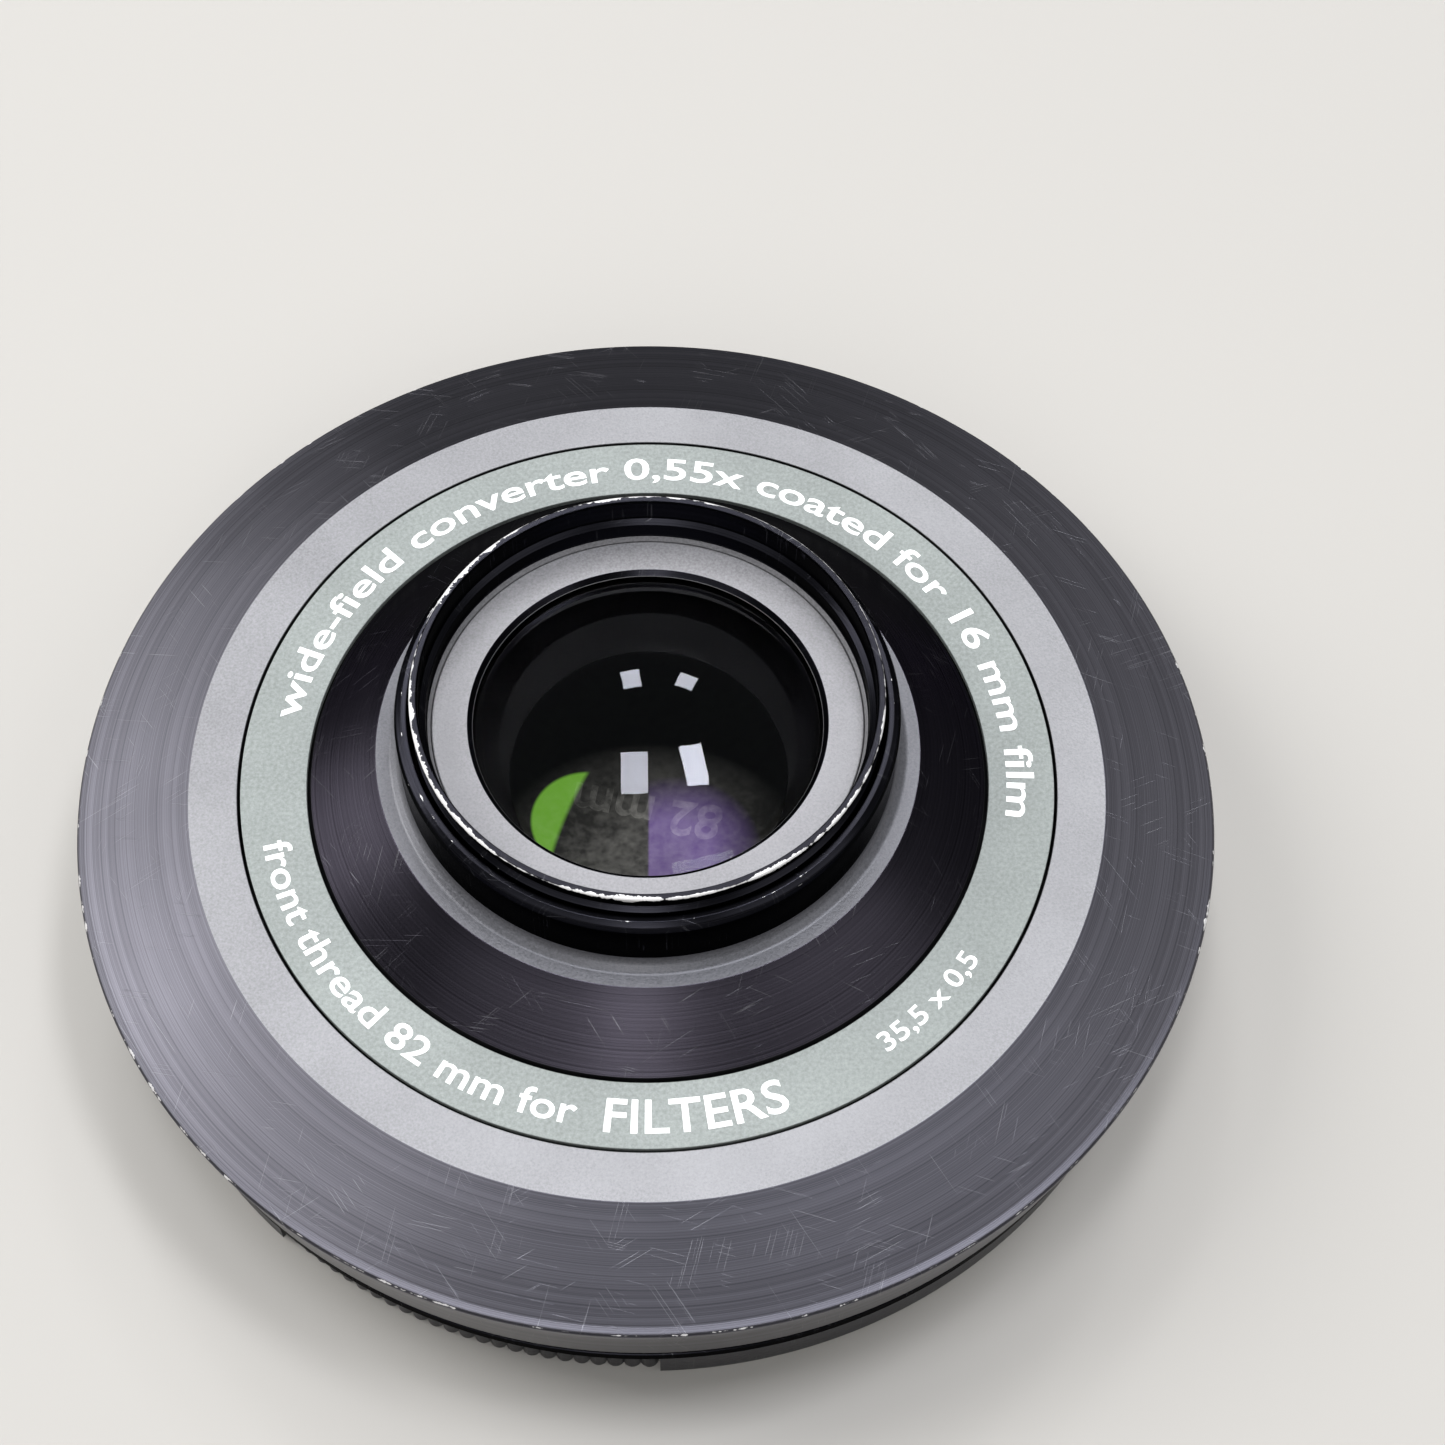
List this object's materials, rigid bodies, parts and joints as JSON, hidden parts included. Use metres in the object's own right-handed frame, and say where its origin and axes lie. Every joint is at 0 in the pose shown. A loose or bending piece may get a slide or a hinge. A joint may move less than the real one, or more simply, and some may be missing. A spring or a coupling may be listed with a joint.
{
  "type": "wide-angle converter lens",
  "caption": "Flared wide-angle converter lens for a cine camera, face down on its pinch-release front cap, with a threaded rear coupling.",
  "frame": {"origin": "centre of the cap's outer face, the plane that the object stands on", "axes": "+Z along the optical axis towards the rear coupling; the cap's pinch tabs lie at 70 and 250 degrees from +X"},
  "size_m": [0.089, 0.089, 0.029],
  "materials": {
    "anodised_shell": "black anodised, fine turned",
    "name_ring": "matt grey-green anodised, white filled lettering",
    "gloss_barrel": "glossy black anodised, turned",
    "satin_ring": "bead-blasted satin",
    "coated_glass": "polished, multi-coated",
    "inner_black": "matt black",
    "gasket": "matt",
    "cap_plastic": "fine grained",
    "cap_inner": "textured",
    "steel": "bright"
  },
  "bodies": {
    "front_cap": {"cap_shell": "cap_plastic", "cap_cover_plate": "cap_inner", "cover_plate_pin_1": "cap_inner", "cover_plate_pin_2": "cap_inner", "cover_plate_pin_3": "cap_inner", "cover_plate_pin_4": "cap_inner", "tab_spring_a1": "steel", "tab_spring_a2": "steel", "tab_spring_b1": "steel", "tab_spring_b2": "steel"},
    "tab_a": {"pinch_tab_a": "cap_plastic"},
    "tab_b": {"pinch_tab_b": "cap_plastic"},
    "lens": {"main_shell": "anodised_shell", "name_ring": "name_ring", "coupling_barrel": "gloss_barrel", "coupling_thread_ring": "gloss_barrel", "rear_retaining_ring": "satin_ring", "rear_doublet_crown": "coated_glass", "rear_doublet_flint": "coated_glass", "lens_cell": "inner_black", "glass_spacer_ring": "inner_black", "light_baffle": "inner_black", "middle_negative_element": "coated_glass", "front_aspheric_element": "coated_glass", "front_seat_gasket": "gasket", "front_retaining_ring": "inner_black", "front_filter_ring": "anodised_shell", "barrel_screw_1": "steel", "barrel_screw_2": "steel", "barrel_screw_3": "steel", "barrel_screw_4": "steel"}
  },
  "joints": [
    {"name": "lens_lift_off", "type": "slide", "parent": "front_cap", "child": "lens", "axis": [0, 0, 1], "range_m": [0, 0.03]},
    {"name": "pinch_tab_a_press", "type": "slide", "parent": "front_cap", "child": "tab_a", "axis": [-0.342, -0.9397, 0], "range_m": [0, 0.0025], "stiffness_N_per_m": 300, "springref_m": -0.004, "deforming": ["tab_spring_a1", "tab_spring_a2"]},
    {"name": "pinch_tab_b_press", "type": "slide", "parent": "front_cap", "child": "tab_b", "axis": [0.342, 0.9397, 0], "range_m": [0, 0.0025], "stiffness_N_per_m": 300, "springref_m": -0.004, "deforming": ["tab_spring_b1", "tab_spring_b2"]}
  ]
}
